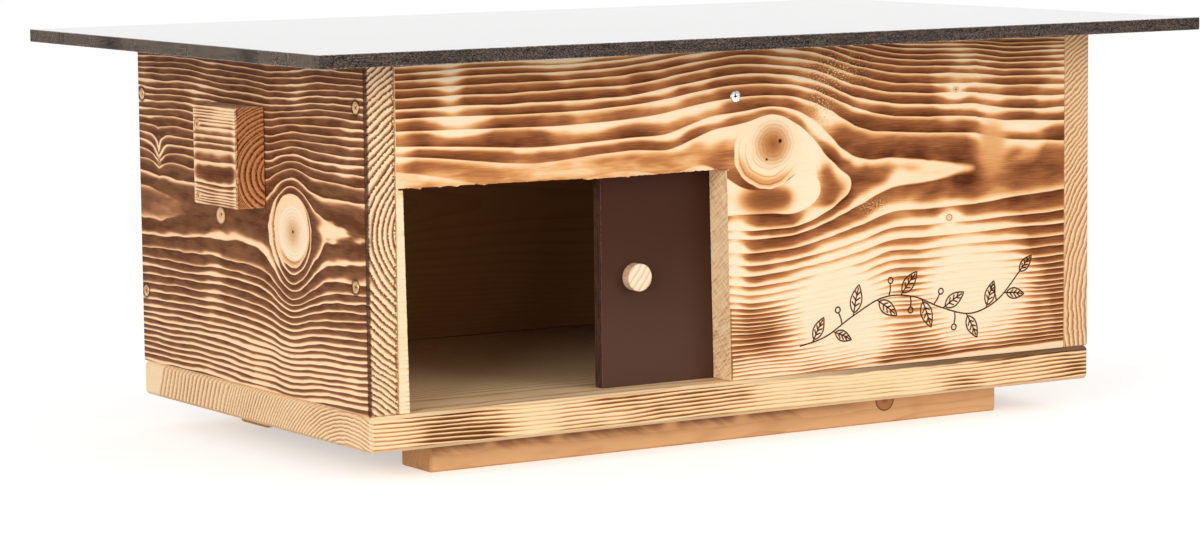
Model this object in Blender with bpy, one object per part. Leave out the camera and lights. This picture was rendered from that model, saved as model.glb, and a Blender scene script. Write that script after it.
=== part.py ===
# Tortoise house: a box of flamed spruce boards on two runners, with a plywood door that slides
# behind the front board and a loose plywood roof that lifts off.
# Metres, +Z up. The front faces -Y. The origin is on the ground, in the middle of the house.

import math

import bpy
import bmesh
from mathutils import Vector

for old in list(bpy.data.objects):
    bpy.data.objects.remove(old, do_unlink=True)

# Body
BODY_WIDTH = 0.600
BODY_DEPTH = 0.340
WALL_HEIGHT = 0.231
BOARD = 0.022
BOARD_EASE = 0.0009

# Floor and runners
FLOOR_THICKNESS = 0.024
FLOOR_LIP = 0.001
FLOOR_EASE = 0.0022
RUNNER_THICKNESS = 0.022
RUNNER_WIDTH = 0.040
RUNNER_SETBACK = 0.030
RUNNER_END_INSET = 0.062
RUNNER_EASE = 0.0012

# Roof
ROOF_THICKNESS = 0.009
ROOF_SIDE_OVERHANG = 0.060
ROOF_FRONT_OVERHANG = 0.052
ROOF_REAR_OVERHANG = 0.052
PLY_EASE = 0.0004
BATTEN_SIZE = 0.018
BATTEN_PLAY = 0.0015
BATTEN_EASE = 0.0010

# Doorway: both saw cuts lean the same way, and the saw ran past the upper corners
LEG_TOP_WIDTH = 0.0053
DOORWAY_WIDTH = 0.2543
DOORWAY_HEIGHT = 0.1473
SAW_LEAN = 0.0027
SAW_STEP = 0.0008
SAW_STEP_SHARE = 0.55
TOP_CUT_FALL = 0.0012
TOP_CUT_RISE = 0.0011
KERF = 0.0014
KERF_LEFT_RUN = 0.0034
KERF_RIGHT_RUN = 0.0016

# Door and its slot
DOOR_THICKNESS = 0.009
DOOR_PLAY = 0.0008
DOOR_FOOT_GAP = 0.0004
DOOR_TOP_LAP = 0.016
DOOR_SIDE_LAP = 0.022
DOOR_STOP_GAP = 0.0005
DOOR_OPEN_SHARE = 0.762
RETAINER_THICKNESS = 0.018
RETAINER_LAP = 0.015
RAIL_DROP = 0.0065
GUIDE_WIDTH = 0.015
GUIDE_HEIGHT = 0.020
GUIDE_LAP = 0.006

# Knob
KNOB_RADIUS = 0.0095
KNOB_LENGTH = 0.0082
KNOB_CHAMFER = 0.0007
KNOB_INSET = 0.0264
KNOB_HEIGHT = 0.0754
KNOB_SIDES = 32

# Handle blocks
HANDLE_THICKNESS = 0.022
HANDLE_DEPTH = 0.065
HANDLE_HEIGHT = 0.0688
HANDLE_FROM_FRONT = 0.141
HANDLE_BELOW_TOP = 0.0358
HANDLE_SCREW_FROM_REAR = 0.0062
HANDLE_UPPER_SCREW_DROP = 0.0141
HANDLE_LOWER_SCREW_RISE = 0.0048

# Countersunk screws
SCREW_HEAD_RADIUS = 0.0040
SCREW_RIM = 0.0005
SCREW_CONE = 0.0022
SCREW_SHANK_RADIUS = 0.0018
SCREW_TIP = 0.0040
SCREW_BITE = 0.018
SCREW_SINK = 0.0010
SCREW_SIDES = 12
SMALL_HEAD_RADIUS = 0.0030
SMALL_CONE = 0.0017
SMALL_SHANK_RADIUS = 0.0014
FRONT_UPPER_SCREW_HEIGHT = 0.2016
FRONT_UPPER_SCREW_INSET = 0.0124
FRONT_LOWER_SCREW_HEIGHT = 0.0841
FRONT_LOWER_SCREW_INSET = 0.0161
REAR_UPPER_SCREW_HEIGHT = 0.1944
REAR_LOWER_SCREW_HEIGHT = 0.0519
REAR_SCREW_INSET = 0.0064
RAIL_SCREW_OFFSET = 0.011
RAIL_SCREW_HEIGHT = 0.1969

# Shares of the piece that each fastener is set out on, or bites into
HALF_BITE_SHARE = 0.55
DEEP_BITE_SHARE = 0.70
RETAINER_SCREW_SHARES = (-0.36, 0.18, 0.38)
GUIDE_SCREW_SHARES = (0.15, 0.85)
BATTEN_SCREW_SHARES = (0.18, 0.82)
RUNNER_SCREW_SHARES = (-0.42, 0.0, 0.42)
WALL_FLOOR_SCREW_SHARES = (-0.32, 0.32)
BACK_FLOOR_SCREW_SHARES = (-0.25, 0.25)
FRONT_FLOOR_SCREW_SHARE = 0.25

# Fit: pieces that touch keep the seat gap, and a cut runs past the face by the overrun
SEAT_GAP = 0.0003
OVERRUN = 0.004

# Levels, from the ground up
floor_foot = RUNNER_THICKNESS + SEAT_GAP
floor_top = floor_foot + FLOOR_THICKNESS
wall_foot = floor_top + SEAT_GAP
wall_top = wall_foot + WALL_HEIGHT
roof_foot = wall_top + SEAT_GAP
roof_top = roof_foot + ROOF_THICKNESS

# Planes of the box
half_width = BODY_WIDTH / 2
half_depth = BODY_DEPTH / 2
inner_x = half_width - BOARD
inner_y = half_depth - BOARD
panel_x = inner_x - SEAT_GAP

# Doorway corners, on the front board's face
cut_left_top = LEG_TOP_WIDTH - inner_x
cut_left_foot = cut_left_top + SAW_LEAN
cut_right_top = cut_left_top + DOORWAY_WIDTH
cut_right_foot = cut_right_top + SAW_LEAN
cut_top = floor_top + DOORWAY_HEIGHT

# The slot behind the front board
slot_front = -inner_y
slot_rear = slot_front + DOOR_THICKNESS + DOOR_PLAY + DOOR_PLAY
door_front = slot_front + DOOR_PLAY
door_rear = door_front + DOOR_THICKNESS
door_foot = floor_top + DOOR_FOOT_GAP
door_top = cut_top + DOOR_TOP_LAP
rail_top = wall_top - RAIL_DROP
spacer_foot = door_top + DOOR_PLAY
retainer_foot = door_top - RETAINER_LAP
retainer_rear = slot_rear + RETAINER_THICKNESS

# Door travel: shut against the left wall, open until the knob meets the doorway's right cut
knob_level = floor_top + KNOB_HEIGHT
lean_at_knob = SAW_LEAN * (cut_top - knob_level) / DOORWAY_HEIGHT
door_shut_left = DOOR_STOP_GAP - inner_x
door_open_left = cut_right_top + lean_at_knob - DOOR_STOP_GAP - KNOB_RADIUS - KNOB_INSET
door_left = door_shut_left + (door_open_left - door_shut_left) * DOOR_OPEN_SHARE
door_width = cut_right_foot + DOOR_SIDE_LAP - door_shut_left
knob_x = door_left + KNOB_INSET


def material(name, colour, roughness, metallic=0.0):
    made = bpy.data.materials.new(name)
    made.use_nodes = True
    shader = made.node_tree.nodes["Principled BSDF"]
    shader.inputs["Base Color"].default_value = (*colour, 1.0)
    shader.inputs["Roughness"].default_value = roughness
    shader.inputs["Metallic"].default_value = metallic
    return made


flamed_wood = ((0.62, 0.36, 0.17), 0.62)
plain_wood = ((0.66, 0.43, 0.22), 0.60)
film_plywood = ((0.055, 0.030, 0.022), 0.32)
bright_zinc = ((0.72, 0.72, 0.70), 0.30, 1.0)
yellow_zinc = ((0.70, 0.55, 0.28), 0.35, 1.0)


def finish(thing, look, parent=None):
    """Gives a new object its own material and its place under a parent that stands unturned."""
    thing.data.materials.append(material(thing.name + "_finish", *look))
    bpy.context.scene.collection.objects.link(thing)
    if parent:
        thing.parent = parent
        thing.location = thing.location - parent.location


def mesh_object(name, shape):
    mesh = bpy.data.meshes.new(name)
    bmesh.ops.recalc_face_normals(shape, faces=shape.faces)
    shape.to_mesh(mesh)
    shape.free()
    return bpy.data.objects.new(name, mesh)


def board(name, low, high, ease, look, parent=None):
    """A straight board between two corners, with eased arrises."""
    low = Vector(low)
    high = Vector(high)
    shape = bmesh.new()
    bmesh.ops.create_cube(shape, size=1.0)
    bmesh.ops.scale(shape, vec=high - low, verts=shape.verts)
    piece = mesh_object(name, shape)
    piece.location = (low + high) / 2
    rounding = piece.modifiers.new("eased arrises", "BEVEL")
    rounding.width = ease
    rounding.segments = 1
    finish(piece, look, parent)
    return piece


def prism(name, outline, front, rear):
    """A closed prism: an outline in X and Z, drawn through from front to rear along Y."""
    shape = bmesh.new()
    face = shape.faces.new([shape.verts.new((x, front, z)) for x, z in outline])
    drawn = bmesh.ops.extrude_face_region(shape, geom=[face])
    moved = [item for item in drawn["geom"] if isinstance(item, bmesh.types.BMVert)]
    bmesh.ops.translate(shape, vec=(0, rear - front, 0), verts=moved)
    return mesh_object(name, shape)


def turned(name, profile, sides):
    """A solid turned about Z from (radius, level) points that run from its top to its foot."""
    shape = bmesh.new()
    points = [shape.verts.new((radius, 0, level)) for radius, level in profile]
    edges = [shape.edges.new(pair) for pair in zip(points, points[1:])]
    bmesh.ops.spin(
        shape,
        geom=points + edges,
        cent=(0, 0, 0),
        axis=(0, 0, 1),
        angle=math.tau,
        steps=sides,
        use_merge=True,
    )
    bmesh.ops.remove_doubles(shape, verts=shape.verts, dist=SEAT_GAP / sides)
    return mesh_object(name, shape)


def as_cutter(thing):
    thing.hide_render = True
    thing.display_type = "WIRE"
    bpy.context.scene.collection.objects.link(thing)


def cut(piece, cutter):
    hole = piece.modifiers.new(cutter.name, "BOOLEAN")
    hole.operation = "DIFFERENCE"
    hole.object = cutter


def screw_profile(length, head, cone, shank, tip, grow=0.0, above=0.0):
    """A screw's outline from its head's top at level 0 down to its point."""
    return [
        (0, above),
        (head + grow, above),
        (head + grow, -SCREW_RIM),
        (shank + grow, -SCREW_RIM - cone),
        (shank + grow, tip - length),
        (0, -length - grow),
    ]


def fastener(name, head_at, along, sizes, holes, look=yellow_zinc, parent=None, sink=0.0):
    """One screw, with its seat cut into each board that it goes through."""
    along = Vector(along)
    turn = Vector((0, 0, -1)).rotation_difference(along).to_euler()
    place = Vector(head_at) + along * sink
    piece = turned(name, screw_profile(**sizes), SCREW_SIDES)
    for polygon in piece.data.polygons:
        polygon.use_smooth = True
    piece.data.set_sharp_from_angle(angle=math.radians(35))
    piece.rotation_euler = turn
    piece.location = place
    finish(piece, look, parent)
    seat = turned(name + "_seat", screw_profile(**sizes, grow=SEAT_GAP, above=OVERRUN), SCREW_SIDES)
    seat.rotation_euler = turn
    seat.location = place
    as_cutter(seat)
    if parent:
        seat.parent = parent
        seat.location = place - parent.location
    for piece_cut in holes:
        cut(piece_cut, seat)
    return piece


def screw(length):
    return {
        "length": length,
        "head": SCREW_HEAD_RADIUS,
        "cone": SCREW_CONE,
        "shank": SCREW_SHANK_RADIUS,
        "tip": SCREW_TIP,
    }


def small_screw(length):
    return {
        "length": length,
        "head": SMALL_HEAD_RADIUS,
        "cone": SMALL_CONE,
        "shank": SMALL_SHANK_RADIUS,
        "tip": SMALL_CONE,
    }


# Parents of the two moving groups, each on its line of travel
door_slide = bpy.data.objects.new("door_slide", None)
door_slide.location = (door_left, (door_front + door_rear) / 2, door_foot)
bpy.context.scene.collection.objects.link(door_slide)
roof_lift = bpy.data.objects.new("roof_lift", None)
roof_lift.location = (0, 0, roof_foot)
bpy.context.scene.collection.objects.link(roof_lift)

# Floor and runners
floor_board = board(
    "floor_board",
    (-half_width, -half_depth - FLOOR_LIP, floor_foot),
    (half_width, half_depth, floor_top),
    FLOOR_EASE,
    flamed_wood,
)
runner_x = half_width - RUNNER_END_INSET
runners = []
for name, side in (("front_runner", -1), ("rear_runner", 1)):
    outer = side * (half_depth - RUNNER_SETBACK)
    inner = side * (half_depth - RUNNER_SETBACK - RUNNER_WIDTH)
    runners.append(
        board(
            name,
            (-runner_x, min(outer, inner), 0),
            (runner_x, max(outer, inner), RUNNER_THICKNESS),
            RUNNER_EASE,
            plain_wood,
        )
    )

# Walls: the side walls run the full depth, with the front and back boards between them
side_walls = []
for name, side in (("left_side_wall", -1), ("right_side_wall", 1)):
    outer = side * half_width
    inner = side * inner_x
    side_walls.append(
        board(
            name,
            (min(outer, inner), -half_depth, wall_foot),
            (max(outer, inner), half_depth, wall_top),
            BOARD_EASE,
            flamed_wood,
        )
    )
front_panel = board(
    "front_panel",
    (-panel_x, -half_depth, wall_foot),
    (panel_x, -inner_y, wall_top),
    BOARD_EASE,
    flamed_wood,
)
back_panel = board(
    "back_panel",
    (-panel_x, inner_y, wall_foot),
    (panel_x, half_depth, wall_top),
    BOARD_EASE,
    flamed_wood,
)

# The doorway is sawn by hand: two leaning cuts from below, and a cut along the top from each side.
# The top cuts meet at a small step, and each runs past its corner by a short kerf.
step_x = cut_left_top + DOORWAY_WIDTH * SAW_STEP_SHARE
cut_foot = wall_foot - OVERRUN
foot_lean = SAW_LEAN * (cut_top - cut_foot) / DOORWAY_HEIGHT
left_level = cut_top + TOP_CUT_FALL
right_level = cut_top - SAW_STEP + TOP_CUT_RISE
doorway = prism(
    "doorway_cut",
    [
        (cut_left_top + foot_lean, cut_foot),
        (cut_left_top, left_level - KERF),
        (cut_left_top - KERF_LEFT_RUN, left_level - KERF),
        (cut_left_top - KERF_LEFT_RUN, left_level),
        (step_x, cut_top),
        (step_x + SAW_STEP, cut_top - SAW_STEP),
        (cut_right_top + KERF_RIGHT_RUN, right_level),
        (cut_right_top + KERF_RIGHT_RUN, right_level - KERF),
        (cut_right_top, right_level - KERF),
        (cut_right_top + foot_lean, cut_foot),
    ],
    -half_depth - OVERRUN,
    -inner_y + OVERRUN,
)
as_cutter(doorway)
cut(front_panel, doorway)

# Handle blocks on the side walls
handles = []
handle_front = HANDLE_FROM_FRONT - half_depth
handle_rear = handle_front + HANDLE_DEPTH
handle_top = wall_top - HANDLE_BELOW_TOP
handle_foot = handle_top - HANDLE_HEIGHT
for name, side in (("left_handle", -1), ("right_handle", 1)):
    outer = side * (half_width + SEAT_GAP + HANDLE_THICKNESS)
    inner = side * (half_width + SEAT_GAP)
    handles.append(
        board(
            name,
            (min(outer, inner), handle_front, handle_foot),
            (max(outer, inner), handle_rear, handle_top),
            BOARD_EASE,
            flamed_wood,
        )
    )

# The door's upper slot: a spacer strip against the front board, and a retainer behind it
door_top_spacer = board(
    "door_top_spacer",
    (-panel_x, slot_front + SEAT_GAP, spacer_foot),
    (panel_x, slot_rear - SEAT_GAP, rail_top),
    BOARD_EASE,
    plain_wood,
)
door_top_retainer = board(
    "door_top_retainer",
    (-panel_x, slot_rear, retainer_foot),
    (panel_x, retainer_rear, rail_top),
    BOARD_EASE,
    plain_wood,
)

# The lower guide lies on the floor behind the closed part of the front
guide_left = cut_right_foot + GUIDE_LAP
door_bottom_guide = board(
    "door_bottom_guide",
    (guide_left, slot_rear, floor_top + SEAT_GAP),
    (panel_x, slot_rear + GUIDE_WIDTH, floor_top + SEAT_GAP + GUIDE_HEIGHT),
    BOARD_EASE,
    plain_wood,
)

# Door and knob
sliding_door = board(
    "sliding_door",
    (door_left, door_front, door_foot),
    (door_left + door_width, door_rear, door_top),
    PLY_EASE,
    film_plywood,
    door_slide,
)
door_knob = turned(
    "door_knob",
    [
        (0, KNOB_LENGTH),
        (KNOB_RADIUS - KNOB_CHAMFER, KNOB_LENGTH),
        (KNOB_RADIUS, KNOB_LENGTH - KNOB_CHAMFER),
        (KNOB_RADIUS, 0),
        (0, 0),
    ],
    KNOB_SIDES,
)
for polygon in door_knob.data.polygons:
    polygon.use_smooth = True
door_knob.data.set_sharp_from_angle(angle=math.radians(30))
door_knob.rotation_euler = (math.radians(90), 0, 0)
door_knob.location = (knob_x, door_front - SEAT_GAP, knob_level)
finish(door_knob, plain_wood, door_slide)

# Roof, with a batten under each side that drops inside the walls
roof_panel = board(
    "roof_panel",
    (-half_width - ROOF_SIDE_OVERHANG, -half_depth - ROOF_FRONT_OVERHANG, roof_foot),
    (half_width + ROOF_SIDE_OVERHANG, half_depth + ROOF_REAR_OVERHANG, roof_top),
    PLY_EASE,
    film_plywood,
    roof_lift,
)
battens = []
batten_front = retainer_rear + BATTEN_PLAY
batten_rear = inner_y - BATTEN_PLAY
batten_top = roof_foot - SEAT_GAP
for name, side in (("roof_batten_left", -1), ("roof_batten_right", 1)):
    outer = side * (inner_x - BATTEN_PLAY)
    inner = side * (inner_x - BATTEN_PLAY - BATTEN_SIZE)
    battens.append(
        board(
            name,
            (min(outer, inner), batten_front, batten_top - BATTEN_SIZE),
            (max(outer, inner), batten_rear, batten_top),
            BATTEN_EASE,
            plain_wood,
            roof_lift,
        )
    )

# Screws through each side wall into the ends of the front and back boards. The doorway leaves the
# front board only a thin leg at the lower left, so the screw there is short.
wall_screw = screw(BOARD + SCREW_BITE)
leg_screw = screw(BOARD + LEG_TOP_WIDTH * HALF_BITE_SHARE)
front_upper = (FRONT_UPPER_SCREW_INSET - half_depth, floor_top + FRONT_UPPER_SCREW_HEIGHT)
front_lower = (FRONT_LOWER_SCREW_INSET - half_depth, floor_top + FRONT_LOWER_SCREW_HEIGHT)
rear_upper = (half_depth - REAR_SCREW_INSET, floor_top + REAR_UPPER_SCREW_HEIGHT)
rear_lower = (half_depth - REAR_SCREW_INSET, floor_top + REAR_LOWER_SCREW_HEIGHT)
for wall, word, side, front_lower_screw in zip(
    side_walls, ("left", "right"), (-1, 1), (leg_screw, wall_screw)
):
    for panel, where, (y, z), sizes in (
        (front_panel, "front_upper", front_upper, wall_screw),
        (front_panel, "front_lower", front_lower, front_lower_screw),
        (back_panel, "rear_upper", rear_upper, wall_screw),
        (back_panel, "rear_lower", rear_lower, wall_screw),
    ):
        fastener(
            f"{word}_wall_screw_{where}",
            (side * half_width, y, z),
            (-side, 0, 0),
            sizes,
            [wall, panel],
        )

# Each handle block is held by a large screw and a small one near its rear end
handle_fix_y = handle_rear - HANDLE_SCREW_FROM_REAR
for handle, wall, word, side in zip(handles, side_walls, ("left", "right"), (-1, 1)):
    face = side * (half_width + SEAT_GAP + HANDLE_THICKNESS)
    length = HANDLE_THICKNESS + BOARD * DEEP_BITE_SHARE
    for height, level, sizes in (
        ("upper", handle_top - HANDLE_UPPER_SCREW_DROP, screw(length)),
        ("lower", handle_foot + HANDLE_LOWER_SCREW_RISE, small_screw(length)),
    ):
        fastener(
            f"{word}_handle_screw_{height}",
            (face, handle_fix_y, level),
            (-side, 0, 0),
            sizes,
            [handle, wall],
        )

# One bright screw through the front holds the spacer and the retainer at mid-width
rail_level = floor_top + RAIL_SCREW_HEIGHT
slot = slot_rear - slot_front
fastener(
    "front_rail_screw",
    (-RAIL_SCREW_OFFSET, -half_depth, rail_level),
    (0, 1, 0),
    screw(BOARD + slot + RETAINER_THICKNESS * HALF_BITE_SHARE),
    [front_panel, door_top_spacer, door_top_retainer],
    bright_zinc,
)

# Screws from inside hold the retainer and the spacer to the front board
for number, share in enumerate(RETAINER_SCREW_SHARES, 1):
    fastener(
        f"retainer_screw_{number}",
        (share * BODY_WIDTH, retainer_rear, rail_level),
        (0, -1, 0),
        screw(RETAINER_THICKNESS + slot + BOARD * HALF_BITE_SHARE),
        [door_top_retainer, door_top_spacer, front_panel],
    )

# Screws down through the lower guide into the floor
guide_length = panel_x - guide_left
for number, share in enumerate(GUIDE_SCREW_SHARES, 1):
    fastener(
        f"guide_screw_{number}",
        (
            guide_left + share * guide_length,
            slot_rear + GUIDE_WIDTH / 2,
            floor_top + SEAT_GAP + GUIDE_HEIGHT,
        ),
        (0, 0, -1),
        screw(GUIDE_HEIGHT + FLOOR_THICKNESS * HALF_BITE_SHARE),
        [door_bottom_guide, floor_board],
    )

# A small screw from the back of the door holds the knob
fastener(
    "door_knob_screw",
    (knob_x, door_rear, knob_level),
    (0, -1, 0),
    small_screw(DOOR_THICKNESS + KNOB_LENGTH * DEEP_BITE_SHARE),
    [sliding_door, door_knob],
    bright_zinc,
    door_slide,
)

# Screws up through the battens, which stop inside the plywood
batten_length = batten_rear - batten_front
for batten, word, side in zip(battens, ("left", "right"), (-1, 1)):
    for number, share in enumerate(BATTEN_SCREW_SHARES, 1):
        fastener(
            f"roof_batten_{word}_screw_{number}",
            (
                side * (inner_x - BATTEN_PLAY - BATTEN_SIZE / 2),
                batten_front + share * batten_length,
                batten_top - BATTEN_SIZE,
            ),
            (0, 0, 1),
            screw(BATTEN_SIZE + ROOF_THICKNESS * DEEP_BITE_SHARE),
            [batten, roof_panel],
            yellow_zinc,
            roof_lift,
        )

# Screws up through the floor into the walls
floor_screw = screw(FLOOR_THICKNESS + SCREW_BITE)
wall_middle = half_width - BOARD / 2
panel_middle = half_depth - BOARD / 2
floor_fixings = []
for wall, side in zip(side_walls, (-1, 1)):
    for share in WALL_FLOOR_SCREW_SHARES:
        floor_fixings.append((wall, side * wall_middle, share * BODY_DEPTH))
for share in BACK_FLOOR_SCREW_SHARES:
    floor_fixings.append((back_panel, share * BODY_WIDTH, panel_middle))
floor_fixings.append((front_panel, FRONT_FLOOR_SCREW_SHARE * BODY_WIDTH, -panel_middle))
for number, (wall, x, y) in enumerate(floor_fixings, 1):
    fastener(f"floor_screw_{number}", (x, y, floor_foot), (0, 0, 1), floor_screw, [floor_board, wall])

# Screws up through the runners into the floor, sunk clear of the ground
runner_length = 2 * runner_x
runner_middle = half_depth - RUNNER_SETBACK - RUNNER_WIDTH / 2
runner_screw = screw(RUNNER_THICKNESS + FLOOR_THICKNESS * HALF_BITE_SHARE)
number = 0
for runner, side in zip(runners, (-1, 1)):
    for share in RUNNER_SCREW_SHARES:
        number += 1
        fastener(
            f"runner_screw_{number}",
            (share * runner_length, side * runner_middle, 0),
            (0, 0, 1),
            runner_screw,
            [runner, floor_board],
            sink=SCREW_SINK,
        )
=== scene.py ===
import math
import random

import bpy
from mathutils import Matrix, Vector


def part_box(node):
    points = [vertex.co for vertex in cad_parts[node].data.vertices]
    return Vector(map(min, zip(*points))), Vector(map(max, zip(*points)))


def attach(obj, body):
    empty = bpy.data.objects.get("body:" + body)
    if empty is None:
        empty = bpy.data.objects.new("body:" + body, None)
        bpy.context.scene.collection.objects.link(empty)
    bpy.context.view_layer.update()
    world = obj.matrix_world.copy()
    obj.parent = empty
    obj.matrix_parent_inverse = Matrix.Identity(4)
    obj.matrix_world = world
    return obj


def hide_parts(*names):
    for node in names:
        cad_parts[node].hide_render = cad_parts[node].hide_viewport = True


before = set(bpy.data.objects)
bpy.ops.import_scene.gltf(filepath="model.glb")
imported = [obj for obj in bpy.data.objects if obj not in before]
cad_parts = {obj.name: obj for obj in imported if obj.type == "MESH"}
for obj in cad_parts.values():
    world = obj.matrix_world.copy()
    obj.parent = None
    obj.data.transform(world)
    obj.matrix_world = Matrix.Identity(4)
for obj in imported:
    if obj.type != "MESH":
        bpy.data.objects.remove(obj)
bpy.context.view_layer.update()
print("frame loaded:", len(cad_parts), "nodes")


def shade(red, green, blue):  # a screen colour, 0 to 255, as light
    return tuple(
        c / 255 / 12.92 if c < 11 else ((c / 255 + 0.055) / 1.055) ** 2.4 for c in (red, green, blue)
    )


# Shader values are written as sums: a wire stands for one output of one node

class Wire:
    def __init__(self, nodes, socket):
        self.nodes = nodes
        self.socket = socket

    def __add__(self, other):
        return self.nodes.math("ADD", self, other)

    def __radd__(self, other):
        return self.nodes.math("ADD", other, self)

    def __sub__(self, other):
        return self.nodes.math("SUBTRACT", self, other)

    def __rsub__(self, other):
        return self.nodes.math("SUBTRACT", other, self)

    def __mul__(self, other):
        return self.nodes.math("MULTIPLY", self, other)

    def __rmul__(self, other):
        return self.nodes.math("MULTIPLY", other, self)

    def __truediv__(self, other):
        return self.nodes.math("DIVIDE", self, other)

    def __rtruediv__(self, other):
        return self.nodes.math("DIVIDE", other, self)

    def __neg__(self):
        return self * -1


class Nodes:
    def __init__(self, tree):
        self.tree = tree

    def feed(self, socket, value):
        if isinstance(value, Wire):
            self.tree.links.new(value.socket, socket)
        elif socket.type == "RGBA" and len(value) == 3:  # a screen colour
            socket.default_value = (*shade(*value), 1)
        else:
            socket.default_value = value

    def node(self, kind, settings=None, values=None, out=0):
        made = self.tree.nodes.new(kind)
        for key, value in (settings or {}).items():
            if key == "stops":
                self.stops(made.color_ramp, value)
            else:
                setattr(made, key, value)
        for key, value in (values or {}).items():
            if isinstance(key, int):
                socket = made.inputs[key]
            else:
                socket = next(s for s in made.inputs if s.name == key and s.enabled)
            self.feed(socket, value)
        if isinstance(out, str):
            return Wire(self, made.outputs[out])
        return Wire(self, [s for s in made.outputs if s.enabled][out])

    def stops(self, ramp, stops):
        ramp.elements.remove(ramp.elements[-1])
        for number, (place, light) in enumerate(stops):
            element = ramp.elements[0] if number == 0 else ramp.elements.new(place)
            element.position = place
            element.color = (*light, 1)

    def math(self, operation, *values, clamp=False):
        settings = {"operation": operation, "use_clamp": clamp}
        return self.node("ShaderNodeMath", settings, dict(enumerate(values)))

    def root(self, value):
        return self.math("SQRT", value)

    def size(self, value):
        return self.math("ABSOLUTE", value)

    def larger(self, one, other):
        return self.math("MAXIMUM", one, other)

    def clip(self, value):
        return self.math("ADD", value, 0, clamp=True)

    def decay(self, value):
        return self.math("EXPONENT", -value)

    def bell(self, value):
        return self.decay(value * value)

    def wave(self, turns):
        return self.math("SINE", turns * math.tau)

    def rise(self, low, high, value):  # 0 below low, 1 above high, and the reverse where low is higher
        values = {"Value": value, "From Min": low, "From Max": high}
        return self.node("ShaderNodeMapRange", {"interpolation_type": "SMOOTHSTEP"}, values)

    def between(self, one, other, share):
        return share * (other - one) + one

    def noise(self, x, y, z, detail=2, roughness=0.5):
        place = self.node("ShaderNodeCombineXYZ", {}, {"X": x, "Y": y, "Z": z})
        values = {"Vector": place, "Scale": 1, "Detail": detail, "Roughness": roughness}
        return self.node("ShaderNodeTexNoise", {"noise_dimensions": "3D"}, values)

    def dice(self, value):  # a random share for each whole number
        return self.node("ShaderNodeTexWhiteNoise", {"noise_dimensions": "1D"}, {"W": value})

    def ramp(self, value, stops, interpolation="LINEAR"):
        made = self.node("ShaderNodeValToRGB", {"stops": stops}, {"Fac": value})
        made.socket.node.color_ramp.interpolation = interpolation
        return made

    def tint(self, value, tones):
        return self.ramp(value, [(spot, shade(*tone)) for spot, tone in tones])

    def mix(self, share, one, other):
        settings = {"data_type": "RGBA", "clamp_factor": True}
        return self.node("ShaderNodeMix", settings, {"Factor": share, "A": one, "B": other})

    def parts(self, value, kind="ShaderNodeSeparateXYZ"):
        made = self.node(kind, {}, {0: value})
        return [Wire(self, socket) for socket in made.socket.node.outputs]


class Finish(Nodes):
    def __init__(self, name, roughness=0.6, specular=0.3, metallic=0.0):
        self.material = bpy.data.materials.new(name)
        self.material.use_nodes = True
        super().__init__(self.material.node_tree)
        self.shader = self.tree.nodes["Principled BSDF"]
        self.set("Roughness", roughness)
        self.set("Specular IOR Level", specular)
        self.set("Metallic", metallic)

    def set(self, socket, value):
        self.feed(self.shader.inputs[socket], value)

    def millimetres(self):
        values = {"Vector": self.node("ShaderNodeTexCoord", out="Object"), "Scale": 1000}
        return self.parts(self.node("ShaderNodeVectorMath", {"operation": "SCALE"}, values))

    def facing(self):
        return self.parts(self.node("ShaderNodeTexCoord", out="Normal"))

    def offset(self, place, along, across, wide=1, tall=1):
        return (place[0] - along) / wide, (place[1] - across) / tall

    def away(self, *spot):  # how far it is from a spot, in shares of the spot's size
        du, dv = self.offset(*spot)
        return self.root(du * du + dv * dv)

    def paint(self, colour, roughness=None, height=None, depth=0.2):
        self.set("Base Color", colour)
        if roughness is not None:
            self.set("Roughness", roughness)
        if height is not None:
            values = {"Strength": 1, "Distance": depth / 1000, "Height": height}
            self.set("Normal", self.node("ShaderNodeBump", {}, values))
        return self.material


# Wood. A board is a slice out of a log: every spot has its distance from the pith, the distance
# gives its year ring, and the flame burns the soft part of each ring more than the hard line.
# Lengths in the finishes are millimetres, and place is (along the grain, up the face, into the wood).

flameTones = {  # from the bare hard line to deep char
    "front": (
        (0, (253, 230, 196)), (0.12, (249, 212, 165)), (0.28, (235, 178, 120)), (0.44, (214, 146, 86)),
        (0.6, (178, 112, 66)), (0.8, (138, 80, 44)), (1, (88, 42, 16)),
    ),
    "side": (
        (0, (255, 222, 180)), (0.14, (246, 198, 152)), (0.3, (208, 152, 106)), (0.48, (166, 112, 74)),
        (0.68, (138, 90, 58)), (0.86, (122, 78, 50)), (1, (98, 55, 30)),
    ),
    "edge": (
        (0, (252, 222, 176)), (0.18, (242, 200, 146)), (0.42, (212, 156, 100)), (0.7, (160, 98, 52)),
        (1, (104, 56, 24)),
    ),
    "handle": (
        (0, (252, 216, 174)), (0.2, (232, 184, 140)), (0.45, (188, 136, 96)), (0.72, (132, 80, 48)),
        (1, (92, 48, 24)),
    ),
}
endTones = {
    "walls": ((0, (250, 222, 182)), (0.3, (226, 178, 132)), (0.62, (180, 128, 84)), (1, (116, 66, 32))),
    "pale": ((0, (246, 206, 162)), (0.4, (214, 166, 118)), (1, (146, 92, 48))),
    "jamb": ((0, (255, 227, 184)), (0.4, (242, 199, 150)), (1, (156, 104, 66))),
    "red": ((0, (222, 158, 106)), (0.35, (180, 108, 62)), (1, (90, 32, 6))),
}
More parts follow.
